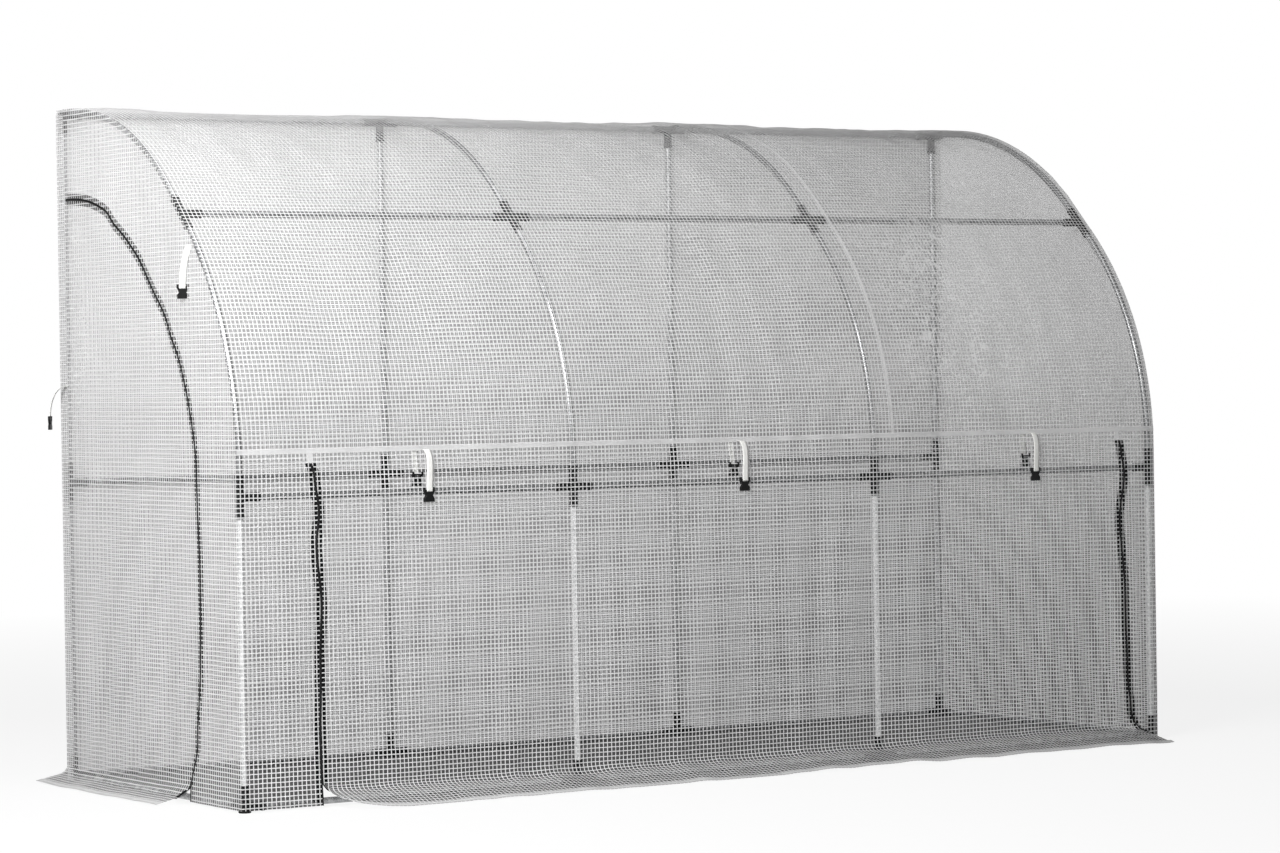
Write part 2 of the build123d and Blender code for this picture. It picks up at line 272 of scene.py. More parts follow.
def film_sheet(name, node_name, columns, rows, point, spot, outward=None):
    """A film in place of its CAD node: spot is on the flat film, and point puts it in space."""
    bm = bmesh.new()
    lay_grid(bm, columns, rows, lambda u, v: point(*spot(u, v)), spot, outward)
    bmesh.ops.remove_doubles(bm, verts=bm.verts, dist=1e-5)
    piece = add_piece(name, bm, film_finish)
    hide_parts(node_name)
    print(name, len(piece.data.polygons), "faces")
    return piece


def share_of(low, high, share):
    """The value at a share of the way from low to high."""
    return low + (high - low) * share


mesh_step = 0.02  # about the size of a face on the film


def steps(length, step=mesh_step):
    """How many faces of about that size fill a length."""
    return max(1, round(abs(length) / step))


print("helpers ready")

# %% [markdown]
# ## Galvanised steel tube
# The tubes are taken to be steel dipped in zinc: a grey metal with a dull gloss, faintly
# clouded where the zinc froze in patches. Noise on object coordinates varies both the colour
# and the roughness, and a very fine bump breaks up the highlight along a leg. In the
# photograph the legs look brightest, then the posts and the ridge, then the rails and the
# arches, as light falls on them and is reflected, so one function makes three lit and shaded
# copies of the zinc: painted highlight on the legs and painted shade on the rails and arches.


# %% Steel
def zinc(name, dark, pale, metal):
    """Zinc-dipped steel between two greys."""
    material, tree, shader = finish(name)
    place = node(tree, "TexCoord").outputs["Object"]
    clouds = node(tree, "TexNoise", {"Vector": place}, in_Scale=55.0, in_Detail=4.0)
    colour = node(tree, "ValToRGB", {"Fac": clouds})
    colour.color_ramp.elements[0].position, colour.color_ramp.elements[0].color = 0.3, tint(dark)
    colour.color_ramp.elements[1].position, colour.color_ramp.elements[1].color = 0.75, tint(pale)
    gloss = node(tree, "MapRange", {"Value": clouds}, in_3=0.2, in_4=0.34)
    grain = node(tree, "TexNoise", {"Vector": place}, in_Scale=700.0)
    bump = node(tree, "Bump", {"Height": grain}, in_Strength=0.08, in_Distance=0.0004)
    shader.inputs["Metallic"].default_value = metal
    join(tree, shader, {"Base Color": colour, "Roughness": gloss, "Normal": bump})
    return material


# Three lit and shaded copies of one zinc: painted shade on the rails and arches, a middle tone on the posts
# and the ridge, painted highlight on the legs.
painted_shade_steel = zinc("galvanised_steel_painted_shade", "#858687", "#B4B5B6", 0.9)
middling_steel = zinc("galvanised_steel", "#A2A3A4", "#C6C7C8", 0.6)
painted_highlight_steel = zinc("galvanised_steel_painted_highlight", "#D6D7D8", "#F4F4F4", 0.4)
print(painted_shade_steel.name, middling_steel.name, painted_highlight_steel.name)

# %% [markdown]
# ## Black polypropylene
# The fittings are moulded plastic with a finely sparked mould face: almost black, with a soft
# sheen that is a little uneven. The same finish, slightly glossier, suits the buckles, which
# are moulded from harder acetal.


# %% Moulded plastics
def moulded_plastic(name, dark, pale, low_gloss, high_gloss, grit_mm):
    """A moulded plastic with grain of a grit size and a sheen between two roughnesses."""
    material, tree, shader = finish(name)
    place = node(tree, "TexCoord").outputs["Object"]
    grit = node(tree, "TexNoise", {"Vector": place}, in_Scale=1000 / grit_mm)
    flow = node(tree, "TexNoise", {"Vector": place}, in_Scale=45.0, in_Detail=3.0)
    colour = node(tree, "ValToRGB", {"Fac": flow})
    colour.color_ramp.elements[0].color = tint(dark)
    colour.color_ramp.elements[1].color = tint(pale)
    gloss = node(tree, "MapRange", {"Value": flow}, in_3=low_gloss, in_4=high_gloss)
    bump = node(tree, "Bump", {"Height": grit}, in_Strength=0.2, in_Distance=0.0003)
    shader.inputs["Specular IOR Level"].default_value = 0.2
    join(tree, shader, {"Base Color": colour, "Roughness": gloss, "Normal": bump})
    return material


polypropylene = moulded_plastic("black_polypropylene", "#050506", "#131414", 0.42, 0.6, 1.2)
acetal = moulded_plastic("black_acetal", "#030304", "#0D0E0E", 0.3, 0.45, 0.9)
print(polypropylene.name, acetal.name)

# %% [markdown]
# ## Grid film
# The cover is polyethylene film with a net of white threads laid between two clear skins,
# about 10 mm apart. A thread is milky: it sends part of the light back and lets part through.
# A cell between threads is clear: a black fitting that touches the film shows as black dots.
# The photograph shows the back and the ends milkier than the front, and greyer towards the
# right end; a haze in the cells is fitted to that look. The haze is partly dust and damp and,
# on film that faces up, partly a painted sheen of light from above; its grey is painted shade,
# darker towards the right end. A net seen at a glance closes up, so there the cells turn milky
# too. The UV map is in metres on the flat film, and a thread is a band of it in each direction,
# bent a little by noise because a real net is never quite straight. The right bay of the roof
# has a patch of pale streaks, painted glints of light on crinkled film.

# %% Net of threads
thread_pitch = 0.0136  # the real net is near 10 mm; drawn coarser so that its cells show
thread_half_share, thread_blur = 0.112, 0.04
thread_drift = (0.0022, 0.0022, 0.0)
film_finish, tree, shader = finish("polyethylene_thread_film")
roll = node(tree, "UVMap", uv_map="flat")
bend = node(tree, "TexNoise", {"Vector": roll}, in_Scale=16.0, in_Detail=2.0)
bent = bend.outputs["Color"]
drift = node(tree, "VectorMath", {0: bent}, operation="MULTIPLY", in_1=thread_drift)
spot = node(tree, "VectorMath", {0: roll, 1: drift}, operation="ADD")
cells = node(tree, "SeparateXYZ", {"Vector": spot}).outputs
edges = {"in_1": thread_half_share + thread_blur, "in_2": thread_half_share - thread_blur}
bands = []
for axis in ("X", "Y"):
    pitch = node(tree, "Math", {0: cells[axis]}, operation="MULTIPLY", in_1=1 / thread_pitch)
    from_thread = node(tree, "Math", {0: pitch}, operation="PINGPONG", in_1=0.5)
    band = node(tree, "MapRange", {"Value": from_thread}, interpolation_type="SMOOTHSTEP", **edges)
    bands.append(band)
net = node(tree, "Math", {0: bands[0], 1: bands[1]}, operation="MAXIMUM")
print("threads every", thread_pitch * 1000, "mm")

# %% Haze in the cells
back_reach = (0.64, 0.66)  # beyond this depth a film is the back one
far_reach = (1.708, 1.71)  # and beyond this length the right end's
facing = node(tree, "NewGeometry").outputs["Normal"]
normal = node(tree, "SeparateXYZ", {"Vector": facing}).outputs
level = node(tree, "Math", {0: normal["Z"]}, operation="ABSOLUTE")
# Film that faces up gets more haze: partly dust, partly a painted sheen of light from above.
dust_and_sheen = node(tree, "MapRange", {"Value": level}, in_1=0.1, in_2=0.85, in_3=0.004, in_4=0.06)
place = node(tree, "TexCoord").outputs["Object"]
at = node(tree, "SeparateXYZ", {"Vector": place}).outputs
damp = node(tree, "MapRange", {"Value": at["Y"]}, in_1=back_reach[0], in_2=back_reach[1], in_4=0.85)
haze = node(tree, "TexNoise", {"Vector": roll}, in_Scale=3.2, in_Detail=5.0)
patchy = node(tree, "MapRange", {"Value": haze}, in_1=0.3, in_2=0.7, in_3=0.6, in_4=1.1)
far_end = node(tree, "MapRange", {"Value": at["X"]}, in_1=far_reach[0], in_2=far_reach[1], in_4=0.4)
sideways = node(tree, "Math", {0: normal["X"]}, operation="ABSOLUTE")
ends = node(tree, "MapRange", {"Value": sideways}, in_1=0.8, in_2=0.95, in_4=0.2)
glance = node(tree, "LayerWeight", in_Blend=0.5).outputs["Facing"]
graze = node(tree, "MapRange", {"Value": glance}, in_1=0.72, in_2=0.95, in_4=0.9)
milkier = dust_and_sheen
causes = (damp, ends, far_end, graze)
for cause in causes:
    milkier = node(tree, "Math", {0: milkier, 1: cause}, operation="MAXIMUM")
cell_haze = node(tree, "Math", {0: milkier, 1: patchy}, operation="MULTIPLY")
print("haze from dust and", len(causes), "other causes")

# %% Painted glints and light through the film
# Painted glints: pale streaks in a patch of the roof's right bay stand in for light glinting on crinkled
# film.
glint_centre = (1.08, 1.45, 0.0)  # the middle of the patch, on the flat film
light_through = 0.4  # the share of a thread's light that goes on into the house
glint_distance = node(tree, "VectorMath", {0: roll}, operation="DISTANCE", in_1=glint_centre).outputs["Value"]
glint_patch = node(tree, "MapRange", {"Value": glint_distance}, in_1=0.7, in_2=0.25, in_4=0.9)
foil = node(tree, "TexNoise", {"Vector": roll}, in_Scale=17.0, in_Detail=4.0, in_Distortion=1.6)
crest = node(tree, "Math", {0: foil}, operation="SUBTRACT", in_1=0.5)
ridge = node(tree, "Math", {0: crest}, operation="ABSOLUTE")
line = node(tree, "MapRange", {"Value": ridge}, in_1=0.05, in_2=0.015)
painted_glint = node(tree, "Math", {0: line, 1: glint_patch}, operation="MULTIPLY")
milky = node(tree, "Math", {0: net, 1: painted_glint}, operation="MAXIMUM")
cover = node(tree, "MapRange", {"Value": milky, 3: cell_haze}, in_4=0.97)
# The haze's grey is painted shade: pale at the left end and darker towards the right, as the light falls
# off.
painted_falloff = node(tree, "MapRange", {"Value": at["X"]}, in_1=-1.6, in_2=1.7)
greys = {"in_6": tint("#E0DFE0"), "in_7": tint("#989798")}
haze_grey_painted_shade = node(tree, "Mix", {"Factor": painted_falloff}, data_type="RGBA", **greys).outputs[2]
mixed = node(tree, "Mix", {"Factor": milky, 6: haze_grey_painted_shade}, data_type="RGBA", in_7=tint("#F0F0F0"))
colour = mixed.outputs[2]
gloss = node(tree, "MapRange", {"Value": milky}, in_3=0.4, in_4=0.6)
skin = node(tree, "Bump", {"Height": foil}, in_Strength=0.5, in_Distance=0.003)
weave = node(tree, "Bump", {"Height": net, "Normal": skin}, in_Strength=0.35, in_Distance=0.0006)
shader.inputs["Specular IOR Level"].default_value = 0.2
join(tree, shader, {"Base Color": colour, "Roughness": gloss, "Normal": weave})
lit = node(tree, "BsdfTranslucent", {"Color": colour})
milk = node(tree, "MixShader", {1: shader, 2: lit}, in_0=light_through)
clear = node(tree, "BsdfTransparent")
whole = node(tree, "MixShader", {0: cover, 1: clear, 2: milk})
join(tree, tree.nodes["Material Output"], {"Surface": whole})
print(film_finish.name, "lets through", light_through)

# %% [markdown]
# ## White seams, zips and webbing
# Where two films meet they are welded under a white polyethylene band, which is milky and
# dull. Zip tape is black woven polyester, its coil is black nylon, and the tie straps are
# white polypropylene webbing with a ribbed weave. Each takes its pattern from the piece's own
# UV map, which again is in metres: across first, then along.


# %% Band, tape, coil and webbing
def ribbed_cloth(name, dark, pale, pitch_mm, roughness, depth_mm, shine=0.3, alpha=1.0):
    """A woven strip: ribs along it at a pitch, broken into stitches, with a little dirt."""
    material, tree, shader = finish(name)
    roll = node(tree, "UVMap", uv_map="flat")
    scale = 1000 / pitch_mm
    split = node(tree, "SeparateXYZ", {"Vector": roll}).outputs
    waves = []
    for axis in ("X", "Y"):
        pitch = node(tree, "Math", {0: split[axis]}, operation="MULTIPLY", in_1=scale)
        waves.append(node(tree, "Math", {0: pitch}, operation="PINGPONG", in_1=0.5))
    weave = node(tree, "Math", {0: waves[0], 1: waves[1]}, operation="ADD")
    dirt = node(tree, "TexNoise", {"Vector": roll}, in_Scale=25.0, in_Detail=3.0)
    mixed = node(tree, "Math", {0: weave, 1: dirt}, operation="MULTIPLY")
    colour = node(tree, "ValToRGB", {"Fac": mixed})
    colour.color_ramp.elements[0].color = tint(dark)
    colour.color_ramp.elements[1].position, colour.color_ramp.elements[1].color = 0.4, tint(pale)
    bump = node(tree, "Bump", {"Height": weave}, in_Strength=0.6, in_Distance=depth_mm / 1000)
    shader.inputs["Roughness"].default_value = roughness
    shader.inputs["Specular IOR Level"].default_value = shine
    shader.inputs["Alpha"].default_value = alpha
    join(tree, shader, {"Base Color": colour, "Normal": bump})
    return material


welded_band = ribbed_cloth("welded_polyethylene_band", "#D6D6D6", "#ECECEC", 4.0, 0.4, 0.25, alpha=0.45)
zip_tape = ribbed_cloth("woven_polyester_tape", "#050506", "#121213", 5.0, 0.8, 0.5, shine=0.1)
zip_nylon = ribbed_cloth("nylon_zip_coil", "#030304", "#0E0E0F", 4.0, 0.5, 0.3, shine=0.2)
webbing = ribbed_cloth("polypropylene_webbing", "#C2C2BF", "#E0E0DD", 2.5, 0.75, 0.4)
print(welded_band.name, zip_tape.name, zip_nylon.name, webbing.name)

# %% [markdown]
# ## The rigid pieces keep their CAD shape
# Tubes, fittings and buckles are exact already, so they only get a finish. The name of a
# node says what it is made of.

# %% Finish the CAD nodes
for name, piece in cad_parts.items():
    if name.endswith("connectors"):
        material, slot = polypropylene, "black_fitting"
    elif name.endswith("buckles"):
        material, slot = acetal, "black_buckle"
    # Legs take the painted-highlight copy of the zinc; rails and arches, below, the painted-shade copy.
    elif name.endswith("leg"):
        material, slot = painted_highlight_steel, "galvanised_tube"
    elif name.endswith("post") or name == "ridge_rail":
        material, slot = middling_steel, "galvanised_tube"
    elif name.endswith(("arch", "rail")):
        material, slot = painted_shade_steel, "galvanised_tube"
    else:
        continue
    piece.data.materials.clear()
    piece.data.materials.append(material)
print("rigid pieces finished")

# %% [markdown]
# ## Roof and back
# The roof is one sheet pulled over the four arches, from the long seam above the front waist
# to the seam beside the ridge. The back hangs from there round the ridge tube to the floor.
# Each is a grid whose columns run along the house and whose rows climb round the cover.


# %% Roof film and back film
def cover_sheet(name, node_name, left, right, low_s, high_s, columns):
    """A film of the cover between two lines, which say where they run at s, and two places round."""

    def spot(u, v):
        s = share_of(low_s, high_s, v)
        return share_of(left(s), right(s), u), s

    return film_sheet(name, node_name, columns, steps(high_s - low_s), cover_point, spot)


def left_edge(s):
    """The left edge of the cover, which runs straight."""
    return cover_left


def right_edge(s):
    """The right edge of the cover."""
    return cover_right


long_way = steps(cover_right - cover_left)
roof_film = cover_sheet("roof_film", "roof_cover", left_edge, right_edge, seam_s, roof_seam_s, long_way)
back_film = cover_sheet("back_film", "back_panel", left_edge, right_edge, roof_seam_s, back_end_s, long_way)

# %% [markdown]
# ## Front: two fixed strips and a flap
# Two zips cut the front into a strip at each end, fixed to the corner legs, and a wide flap
# between them that rolls up. The zips were never sewn quite straight, so each one's line
# wanders a little and the films on both sides follow it. The flap is longer than the front
# is high: its foot turns outwards in a soft bend and lies on the ground as a skirt.

# %% Front strips
left_zip_x = middle("front_left_zip").x
right_zip_x = middle("front_right_zip").x
tape_half = (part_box("front_left_zip")[1].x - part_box("front_left_zip")[0].x) / 2
coil_half = 0.004
# Where each zip strays from its line, as (metres up, millimetres to the right)
left_strays = (
    (0.02, -13), (0.15, -17), (0.42, -11), (0.57, -5), (0.74, -18), (0.84, -7), (0.94, -19), (0.99, -32),
)
right_strays = (
    (0.03, 38), (0.1, 15), (0.22, 4), (0.5, -2), (0.72, -20), (0.87, 4), (0.95, -8), (1.0, -25),
)


def stray(strays, place):
    """How far a line strays at a place, eased between the nearest of its (place, millimetres)."""
    before = strays[0]
    for after in strays:
        if place <= after[0]:
            break
        before = after
    share = ease(place, before[0], after[0]) if after[0] > before[0] else 0.0
    return share_of(before[1], after[1], share) / 1000


def left_zip(s):
    """Where the left front zip runs at a height."""
    return left_zip_x + stray(left_strays, s)


def right_zip(s):
    """Where the right front zip runs at a height."""
    return right_zip_x + stray(right_strays, s)


def left_strip_edge(s):
    """The left strip ends at the coil of its zip."""
    return left_zip(s) - coil_half


def right_strip_edge(s):
    """So does the right one."""
    return right_zip(s) + coil_half


left_columns, right_columns = steps(0.25), steps(0.12)
left_strip = cover_sheet(
    "front_left_film", "front_left_panel", left_edge, left_strip_edge, hem_z, seam_s, left_columns
)
right_strip = cover_sheet(
    "front_right_film", "front_right_panel", right_strip_edge, right_edge, hem_z, seam_s, right_columns
)

# %% Front flap with its skirt
skirt_slope = math.radians(14)
skirt_turn = 2 * eighth - skirt_slope
skirt_bend = 0.032
skirt_z = hem_z / 2
lowest_z = 0.0012
left_spread, right_spread = 0.02, 0.035
flap_step = 0.017
flap_reach = front_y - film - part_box("front_flap")[0].y
door_reach = end_x[-1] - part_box("left_door")[0].x
skirt_corner = 0.13


def skirt_runs(reach):
    """Runs of a hanging film whose foot turns out over the ground, their length and their rise."""
    lying = (reach - skirt_bend * (1 - math.cos(skirt_turn))) / math.cos(skirt_slope)
    bent = skirt_bend * skirt_turn
    rise = lying * math.sin(skirt_slope) + skirt_bend * math.sin(skirt_turn)
    return [(lying, 0), (bent, -skirt_turn)], lying + bent, skirt_z + rise


flap_runs, flap_foot, flap_rise = skirt_runs(flap_reach)
flap_length = seam_s - flap_rise + flap_foot


def flap_height(length):
    """How far round the cover a point of the flap is, so far along it from its free edge."""
    return max(length - flap_foot + flap_rise, hem_z)


def flap_edges(length):
    """The flap's left and right edges; the skirt spreads a little."""
    loose = max(0.0, 1 - length / flap_foot)
    s = flap_height(length)
    return left_zip(s) + left_spread * loose, right_zip(s) + right_spread * loose


def flap_point(x, length, lift=0.0):
    """A point of the flap, so far along it from the skirt's free edge, whose left corner is round."""
    if length >= flap_foot:
        return cover_point(x, flap_height(length), lift)
    from_left = max(x - left_zip_x, 0.0)
    if from_left < skirt_corner:
        cut_off = 1 - math.sqrt(1 - (1 - from_left / skirt_corner) ** 2)
        length = share_of(0.75 * cut_off * flap_foot, flap_foot, length / flap_foot)
    y, z, heading = walk((front_y - film - flap_reach, skirt_z, skirt_turn), flap_runs, length)
    loose = 1 - length / flap_foot
    waves = noise.noise(Vector((x * 3.1, 0.4, 2))) + 0.5 * noise.noise(Vector((x * 9, 2, 7)))
    out = lift + drape(x, flap_rise) * (1 - loose) + max(0.012 * loose * waves, -0.5 * z)
    y -= out * math.cos(heading)
    z += out * math.sin(heading)
    return Vector((x, y, max(z, lowest_z)))


def flap_spot(u, v):
    """Where a point of the flap lies on the flat film: along the house and up from its edge."""
    length = share_of(0, flap_length, v)
    left, right = flap_edges(length)
    return share_of(left + coil_half, right - coil_half, u), length


flap_columns, flap_rows = steps(right_zip_x - left_zip_x), steps(flap_length, flap_step)
flap = film_sheet("front_flap_film", "front_flap", flap_columns, flap_rows, flap_point, flap_spot)
print("flap", round(flap_length, 3), "m long with a skirt of", round(flap_foot, 3))

# %% [markdown]
# ## Ends: surround, zip and door
# Each end is flat film in the plane of the last rib. On the left a zip follows the arch a
# hand's breadth inside it, from the ground over to the back post, and the film inside it is
# the door. The surround is a band between the arch and the zip, so its grid runs round the
# arch. The door is a grid from the zip across to the back post, and the plain right end is
# one from the arch across. All are cut from flat film, so their threads stay level and
# upright: the UV map is the flat place itself.

# %% End films
back_edge = back_y + film
end_runs = arch_runs + [(straight_end + film, 0)]
end_length = sum(length for length, turn in end_runs)
end_step = 0.018
zip_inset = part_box("left_door_zip")[0].y + tape_half - front_y + film
# Where the door's zip strays inwards, as (metres round the arch, millimetres)
door_strays = (
    (0.03, 45), (0.18, -8), (0.4, -40), (0.66, -48), (0.95, -34), (1.23, -18),
    (1.6, -3), (2.05, 2), (2.17, 4), (2.28, -13), (2.63, -8),
)


def zip_sway(s):
    """How far the door's zip strays from its true line."""
    return stray(door_strays, s)


def end_line(s, inset):
    """A point of the end's outline set in by a distance, as across and height."""
    y, z, heading = walk(cover_start, end_runs, s)
    return y + inset * math.cos(heading), z - inset * math.sin(heading)


def end_point(side, y, z, lift=0.0):
    """A point of an end film, creased a little where it hangs free of the tubes."""
    free = ease(y - front_y, 0.03, 0.2) * ease(back_y - y, 0.02, 0.15) * ease(ridge_z - z, 0.02, 0.2)
    out = lift + 0.8 * free * creases(y * 1.1, z * 0.6, 21 + side)
    return Vector((end_x[side] + side * out, y, z))


door_runs, door_foot, door_rise = skirt_runs(door_reach)
door_extra = door_foot - door_rise
door_top = end_line(end_length, zip_inset)[1] + door_extra


def door_point(y, height, lift=0.0):
    """A point of the door; height is measured up the film from the skirt's free edge."""
    if height >= door_foot:
        return end_point(-1, y, height - door_extra, lift)
    out, z, heading = walk((-door_reach, skirt_z, skirt_turn), door_runs, height)
    loose = 1 - height / door_foot
    wave = 0.008 * loose * noise.noise(Vector((y * 4.7, 0.4, 5)))
    stand = lift + max(wave, -0.5 * z)
    x = end_x[-1] + out - stand * math.cos(heading)
    return Vector((x, y + 0.012 * loose, max(z + stand * math.sin(heading), lowest_z)))


def door_height(z):
    """How far up the door's film a height on its zip is: the lowest stretch is the skirt."""
    if z < door_rise:
        return door_foot * (z - hem_z) / (door_rise - hem_z)
    return z + door_extra


def door_spot(u, v):
    """Where a point of a door lies on the flat film."""
    s = share_of(hem_z, end_length, v)
    y, z = end_line(s, zip_inset + coil_half + zip_sway(s))
    return share_of(y, back_edge, u), share_of(door_height(z), door_top * v, u)


def surround_spot(u, v):
    """Where a point of the fixed surround lies on the flat film."""
    s = share_of(hem_z, end_length, v)
    return end_line(s, share_of(0, zip_inset - coil_half + zip_sway(s), u))


def plain_spot(u, v):
    """Where a point of the plain end lies on the flat film."""
    y, z = end_line(share_of(hem_z, end_length, v), 0.0)
    return share_of(y, back_edge, u), share_of(z, share_of(hem_z, ridge_z + film, v), u)


to_left, to_right = Vector((-1, 0, 0)), Vector((1, 0, 0))


def end_film(name, node_name, width, spot, point, outward):
    """One film of an end, in place of its CAD node."""
    return film_sheet(name, node_name, steps(width), steps(end_length, end_step), point, spot, outward)


def left_point(y, z, lift=0.0):
    """A point of the left end's film."""
    return end_point(-1, y, z, lift)


def right_point(y, z, lift=0.0):
    """A point of the right end's film."""
    return end_point(1, y, z, lift)


end_depth = back_edge - front_y
surround = end_film("left_end_film", "left_end_panel", zip_inset, surround_spot, left_point, to_left)
door = end_film("left_door_film", "left_door", end_depth - zip_inset, door_spot, door_point, to_left)
plain_end = end_film("right_end_film", "right_end_panel", end_depth, plain_spot, right_point, to_right)

# %% [markdown]
# ## Zips
# A zip is two black tapes sewn behind the edges of the films, with a nylon coil along each.
# The film leaves only the coil bare, so the tape shows through the net as rows of dark dots.
# Each half lies on its own film, so that at the foot the flap's half leaves the fixed one.
# A strip of grid makes the tape, and a second one, raised and ridged, makes the coil.

# %% Zip halves
tape_lift, coil_rise, tooth_pitch = -0.0012, 0.0026, 0.004
tapes, coils = bmesh.new(), bmesh.new()


def zip_half(low, high, spot):
    """Half a zip between two places along it; spot gives a point so far along, across and up."""
    length = high - low

    def strip(bm, width, lift, columns, step):
        lay_grid(
            bm,
            columns,
            steps(length, step),
            lambda u, v: spot(share_of(low, high, v), width * u, lift(u, v * length)),
            lambda u, v: (width * u, share_of(low, high, v)),
        )

    def tooth(u, along):
        ridge = 0.72 + 0.28 * math.cos(2 * math.pi * along / tooth_pitch)
        return coil_rise * math.cos(u * math.pi / 2) * ridge

    strip(tapes, tape_half, lambda u, along: tape_lift, 2, mesh_step)
    strip(coils, coil_half, tooth, 3, tooth_pitch / 2)


zip_top, door_zip_top = 0.035, 0.045
door_zip_end = end_length - film - door_zip_top
for line, outwards, edge in ((left_zip, -1, 0), (right_zip, 1, 1)):
    zip_half(hem_z, seam_s - zip_top, lambda s, d, lift: cover_point(line(s) + outwards * d, s, lift))
    zip_half(
        0.5 * flap_foot,
        flap_length - zip_top,
        lambda length, d, lift: flap_point(flap_edges(length)[edge] - outwards * d, length, lift),
    )


def fixed_side(s, d, lift):
    """A point of the half of the door's zip on the surround."""
    return left_point(*end_line(s, zip_inset + zip_sway(s) - d), lift)


def door_side(s, d, lift):
    """A point of the half on the door."""
    y, z = end_line(s, zip_inset + zip_sway(s) + d)
    return door_point(y, door_height(z), lift)


zip_half(hem_z, door_zip_end, fixed_side)
zip_half(share_of(hem_z, door_rise, 0.5), door_zip_end, door_side)
for bm in (tapes, coils):
    bmesh.ops.remove_doubles(bm, verts=bm.verts, dist=1e-5)
zip_tapes = add_piece("zip_tapes", tapes, zip_tape)
zip_coils = add_piece("zip_coils", coils, zip_nylon)
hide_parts("front_left_zip", "front_right_zip", "left_door_zip")
print("zip coils", len(zip_coils.data.polygons), "faces")

# %% [markdown]
# ## Welded seams
# Films are joined under white bands: one long seam above the front waist, one over the roof
# where two widths of film meet, and one beside the ridge. A short patch closes the top of each
# front zip, each end has two upright bands beside its back post, and the free edges of the
# skirts are turned up and welded as hems. Each band is a strip of grid lifted a hair off the
# film that it joins. The back film is folded round its corners and lies double there, which
# makes a greyer strip.

# %% Seams of the cover
seams = bmesh.new()
band_lift = 0.0009
waist_band, ridge_band, roof_band, zip_patch, hem_width = 0.015, 0.008, 0.012, 0.02, 0.02
roof_seam_x = rib_x[2] + 0.062


def level_band(point, left, right, foot, width):
    """A band that runs level; point puts a spot (along, up) of it in place."""
    lay_grid(
        seams,
        steps(right - left),
        2,
        lambda u, v: point(share_of(left, right, u), foot + width * v, band_lift),
        lambda u, v: (width * v, share_of(left, right, u)),
    )


def upright_band(point, middle_line, width, low, high, outward=None):
    """A band that climbs, about a line; point puts a spot (along, up) of it in place."""
    lay_grid(
        seams,
        2,
        steps(high - low),
        lambda u, v: point(middle_line + width * (u - 0.5), share_of(low, high, v), band_lift),
        lambda u, v: (width * u, share_of(low, high, v)),
        outward,
    )


level_band(cover_point, cover_left, cover_right, seam_s - waist_band / 2, waist_band)
level_band(cover_point, cover_left, cover_right, roof_seam_s - ridge_band / 2, ridge_band)
upright_band(cover_point, roof_seam_x, roof_band, seam_s, ridge_s)
for line in (left_zip, right_zip):
    upright_band(cover_point, line(seam_s), zip_patch, seam_s - zip_top, seam_s)
level_band(flap_point, *flap_edges(0.0), 0.0, hem_width)
cover_seams = add_piece("cover_seams", seams, welded_band)
print("cover seams", len(cover_seams.data.polygons), "faces")

# %% Seams of the ends
seams = bmesh.new()
end_bands = ((back_edge - 0.005, 0.010), (back_y - 0.034, 0.007))  # middle line and width
for point, outward in ((left_point, to_left), (right_point, to_right)):
    for middle_line, width in end_bands:
        upright_band(point, middle_line, width, door_rise, ridge_z, outward)
door_front = end_line(hem_z, zip_inset + zip_sway(hem_z))[0]
level_band(door_point, door_front, back_edge, 0.0, hem_width)
end_seams = add_piece("end_seams", seams, welded_band)
print("end seams", len(end_seams.data.polygons), "faces")

# %% Folds of the back film
folds = bmesh.new()
fold_width, fold_lift = 0.046, 0.002
net_shift = (0.004, 0.006)  # the second layer's net lies beside the first one's
for point, outward in ((left_point, to_left), (right_point, to_right)):
    lay_grid(
        folds,
        2,
        steps(ridge_z),
        lambda u, v: point(back_edge - fold_width * u, share_of(hem_z, ridge_z, v), fold_lift),
        lambda u, v: (fold_width * u + net_shift[0], share_of(hem_z, ridge_z, v) + net_shift[1]),
        outward,
    )
back_folds = add_piece("back_fold_film", folds, film_finish)
print("back folds", len(back_folds.data.polygons), "faces")

# %% [markdown]
# ## Tie straps
# White webbing is sewn into the seams in pairs, one strap outside and one inside, to hold
# the flap or the door when it is rolled up. Each ends in half a buckle. A strap is stiff
# enough to bow before it hangs, so its path is a curve from the seam to the buckle's bar, with
# the end turned in behind the bar. The buckles' places are read from their solids. The upper
# one on the left end hangs loose and has turned towards the front, so a turned copy of its mesh
# takes its place.


# %% Read the buckles' boxes
def solid_boxes(name):
    """The lowest and highest corners of each solid of a node."""
    bm = bmesh.new()
    bm.from_mesh(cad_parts[name].data)
    bmesh.ops.remove_doubles(bm, verts=bm.verts, dist=1e-6)
    left, boxes = set(bm.verts), []
    while left:
        island, edge = set(), [left.pop()]
        while edge:
            vert = edge.pop()
            island.add(vert)
            near = {link.other_vert(vert) for link in vert.link_edges} & left
            left -= near
            edge.extend(near)
        corners = list(zip(*(vert.co for vert in island)))
        boxes.append((Vector(map(min, corners)), Vector(map(max, corners))))
    bm.free()
    return boxes


strap_width, strap_thickness, strap_lift = 0.02, 0.0014, 0.0016
horn_height, bar_height = 0.0063, 0.004
bow_height = 0.045  # how far above the bar a strap starts to hang straight
straps = bmesh.new()


def lay_strap(curve, width_direction, outward):
    """A strip of webbing along a curve of points."""
    lengths = [0.0]
    for before, after in zip(curve, curve[1:]):
        lengths.append(lengths[-1] + (after - before).length)
    last = len(curve) - 1
    lay_grid(
        straps,
        4,
        last,
        lambda u, v: curve[round(v * last)] + width_direction * strap_width * (u - 0.5),
        lambda u, v: (strap_width * u, lengths[round(v * last)]),
        outward,
    )


